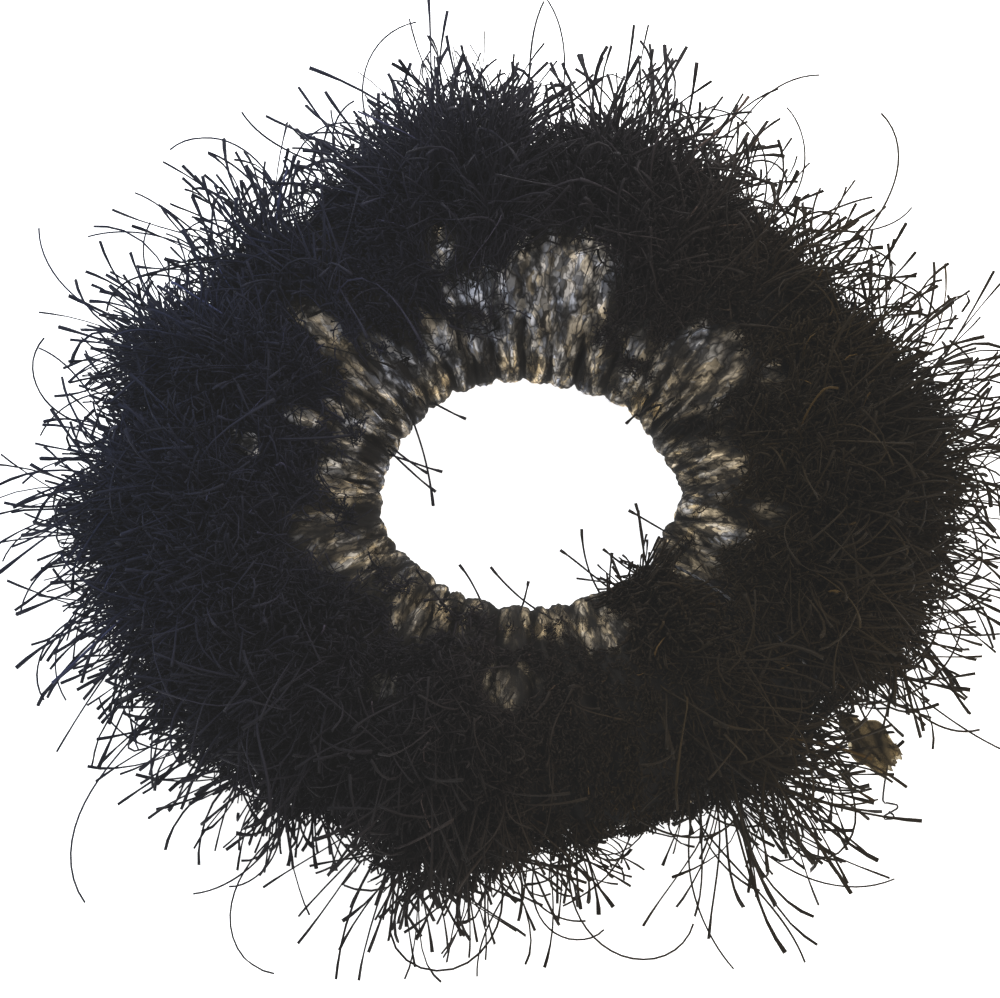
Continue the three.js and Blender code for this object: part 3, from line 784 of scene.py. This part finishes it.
def filaments():
    """Thin loose filaments that wander out past the lashes: each one's heading turns steadily, by an
    amount that changes from root to end, in a plane that tips a little."""
    random = np.random.default_rng(300)
    more = RANDOM_FILAMENTS
    chosen = np.concatenate([FILAMENTS, np.stack([
        random.uniform(0, 360, more), random.uniform(0.28, 0.56, more), random.uniform(15, 30, more),
        random.normal(0, 30, more), random.normal(0, 3, more), random.normal(0, 5, more)], -1)])
    chosen[:, 5] += 2 * np.sign(chosen[:, 5])
    turn, share, length, heading, start, end = chosen.T
    turn, heading = np.radians(turn), np.radians(heading)
    root, normal, along, outwards = cloth(turn, share)
    u = FILAMENT_RINGS[None, :]
    travelled = u * length[:, None]
    bearing = heading[:, None] + np.radians(start[:, None] * travelled
                                            + (end - start)[:, None] * u * travelled / 2)
    step = (length / (len(FILAMENT_RINGS) - 1))[:, None, None]
    ahead = unit(outwards + 0.5 * normal)[:, None] * np.cos(bearing)[..., None]
    ahead = ahead + along[:, None] * np.sin(bearing)[..., None]
    spine = root[:, None] + np.cumsum(ahead * step, 1)
    spine = stand_clear(spine, turn, random)
    width = random.uniform(0.28, 0.36, len(turn))
    points, faces = ribbons(spine, width, width * 0.9, np.zeros(len(turn)), random.normal(0, 2, len(turn)),
                            np.ones(len(FILAMENT_RINGS)))
    piece = make_mesh("loose_filaments", points, faces, LASH)
    shape = points.shape[:3]
    set_attribute(piece, "tone", np.broadcast_to(random.uniform(0, 0.9, len(turn))[:, None, None], shape))
    set_attribute(piece, "along", np.zeros(shape))
    return piece


SCRAP_ROUND, SCRAP_OUT = 30, 40
TAIL_AT = (0, 4.9, 5.6, 7.2, 8.2, 10.2, 11.0, 12.0, 12.8, 13.6)  # millimetres
TAIL_BEARING = (-104, -95, -8, -8, -152, -152, 0, 10, 140, 150)  # degrees
TAIL_START = (56.8, -45.2)
TAIL_RINGS = 120


def seam_scrap():
    """The raw end of the closing seam: two layers of net that stand out between the lashes. A strip on a
    grid of the distance outwards and across it, upright where it leaves the tube and nearly flat at its
    end, crumpled by a few waves, with a ragged end."""
    u = np.linspace(0, 1, SCRAP_OUT)[None, :, None]
    v = np.linspace(-1, 1, SCRAP_ROUND)[None, None, :]
    layer = np.array([0.0, 1.0])[:, None, None]
    edge, outwards, along = ring_frame(np.array(SEAM_AT))
    out = TUBE_WIDTH + 2.5 + 12.0 * u + (0.5 * np.sin(7 * v + 3 * layer) + 0.25 * np.sin(19 * v)) * u**2
    half = 1.0 + 2.3 * np.sin(np.pi * np.clip(u * 0.78 + 0.05, 0, 1)) + 0.25 * np.sin(14 * u)
    roll = np.radians(85 - 75 * smoothstep(0.1, 0.6, u) + 20 * layer)
    crumple = 0.6 * np.sin(5.3 * v + 7 * u + 2 * layer) * np.cos(6 * u - 2 * v)
    crumple = crumple + 0.3 * np.sin(13 * u + 11 * v)
    side = v * half * np.cos(roll) - crumple * np.sin(roll) - 1.9 * u
    height = ELASTIC_HEIGHT + 5 * u - 2 * u**2 + v * half * np.sin(roll) + crumple * np.cos(roll)
    height = height + layer * 0.6
    points = edge + outwards * out[..., None] + along * side[..., None] + UP * height[..., None]
    index = np.arange(2 * SCRAP_OUT * SCRAP_ROUND).reshape(2, SCRAP_OUT, SCRAP_ROUND)
    faces = np.stack([index[:, :-1, :-1], index[:, 1:, :-1], index[:, 1:, 1:], index[:, :-1, 1:]], -1)
    # Its net is drawn paler and browner than the tube's: painted light.
    scrap = make_mesh("seam_tab_scrap", points, [faces.reshape(-1, 4)], PAINTED_LIGHT_SCRAP_NET)
    shape = points.shape[:3]
    frayed = 0.5 - 0.35 * smoothstep(0.5, 1.0, np.abs(v)) + 0.25 * np.sin(8 * u + 5 * v)
    set_attribute(scrap, "solid", np.broadcast_to(frayed, shape))
    set_uv(scrap, "cloth", np.stack(np.broadcast_arrays(15 * u + 40 * layer, 5 * v), -1))
    return scrap


def thread_tail():
    """The end of the closing seam's thread: it hangs out of the scrap and ends in a small curl. Its bearing
    changes between straight runs, each at a distance along it."""
    travelled = np.linspace(0, TAIL_AT[-1], TAIL_RINGS)
    bearing = np.radians(np.interp(travelled, TAIL_AT, TAIL_BEARING))
    drop = np.full(TAIL_RINGS, -0.15)
    steps = np.stack([np.cos(bearing), np.sin(bearing), drop], -1) * travelled[1]
    spine = np.array([*TAIL_START, ELASTIC_HEIGHT]) + np.cumsum(steps, 0)
    points, faces = ribbons(spine[None], np.array([0.34]), np.array([0.3]), np.zeros(1), np.zeros(1),
                            np.ones(TAIL_RINGS))
    return make_mesh("seam_thread_tail", points, faces, THREAD)


strays = filaments()
edge = loose_lashes()
scrap = seam_scrap()
tail = thread_tail()

# ---- The frame's own pieces, with their finishes ---------------------------------------------------

for node in ("elastic_band", "elastic_lap_stitch", "long_seam_thread", "closing_seam_thread"):
    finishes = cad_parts[node].data.materials
    finishes.clear()
    finishes.append(TAPE if node == "elastic_band" else THREAD)

# ---- How the pieces ride -------------------------------------------------------------------------

for piece in [tube, *rows, strays, edge, scrap, tail]:
    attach(piece, "root")
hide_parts("mesh_tube")
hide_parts("seam_tab")
for row, piece in enumerate(rows):
    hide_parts(f"fringe_row_{row + 1:02d}")

# ---- Stage ---------------------------------------------------------------------------------------


def pale_floor():
    """A plain pale floor, lit a little from within so that light comes up through the net."""
    material, tree = new_material("pale_floor")
    paper = add_node(tree, "ShaderNodeBsdfDiffuse", Color=linear("#f4f4f4"))
    glow = add_node(tree, "ShaderNodeEmission", Color=(1, 1, 1, 1), Strength=0.95)
    both = add_node(tree, "ShaderNodeAddShader", {0: paper.outputs["BSDF"], 1: glow.outputs["Emission"]})
    finish_material(tree, both.outputs["Shader"])
    size = 4000.0
    corners = np.array([(-size, -size, 0), (size, -size, 0), (size, size, 0), (-size, size, 0)])
    floor = make_mesh("floor", corners, [np.array([[0, 1, 2, 3]])], material)


def soft_light(name, place, size, power, colour):
    """A square area light that faces the ring."""
    light = bpy.data.lights.new(name, "AREA")
    light.shape, light.size, light.energy, light.color = "SQUARE", size * MM, power, colour
    lamp = bpy.data.objects.new(name, light)
    lamp.location = np.array(place) * MM
    lamp.rotation_euler = (-lamp.location).to_track_quat("-Z", "Y").to_euler()
    lamp.visible_camera = False
    bpy.context.scene.collection.objects.link(lamp)


def long_lens_camera():
    """Looks down at the ring from the front, with a long lens."""
    data = bpy.data.cameras.new("camera")
    camera = bpy.data.objects.new("camera", data)
    bpy.context.scene.collection.objects.link(camera)
    tilt = math.radians(CAMERA_ELEVATION)
    aim = Vector((CAMERA_AIM[0], CAMERA_AIM[1], ELASTIC_HEIGHT)) * MM
    back = Vector((0, -math.cos(tilt), math.sin(tilt)))
    camera.location = aim + back * CAMERA_DISTANCE * MM
    camera.rotation_euler = (-back).to_track_quat("-Z", "Y").to_euler()
    data.lens = data.sensor_width * CAMERA_DISTANCE / CAMERA_VIEW_WIDTH
    bpy.context.scene.camera = camera


long_lens_camera()
pale_floor()
soft_light("over_the_left", (-150, 40, 160), 120, 0.28, (0.85, 0.92, 1.0))
soft_light("over_the_right", (150, -100, 160), 120, 0.28, (1.0, 0.93, 0.85))
soft_light("over_the_back", (30, 130, 90), 80, 0.19, (1, 0.97, 0.97))
world = bpy.data.worlds.new("studio")
world.use_nodes = True
world.node_tree.nodes["Background"].inputs["Color"].default_value = (1, 1, 1, 1)
world.node_tree.nodes["Background"].inputs["Strength"].default_value = 0.35
bpy.context.scene.world = world
bpy.context.scene.view_settings.view_transform = "Standard"
bpy.context.scene.view_settings.use_curve_mapping = True
bpy.context.scene.view_settings.curve_mapping.black_level = (-0.012, -0.012, -0.012)  # a lens's slight veil
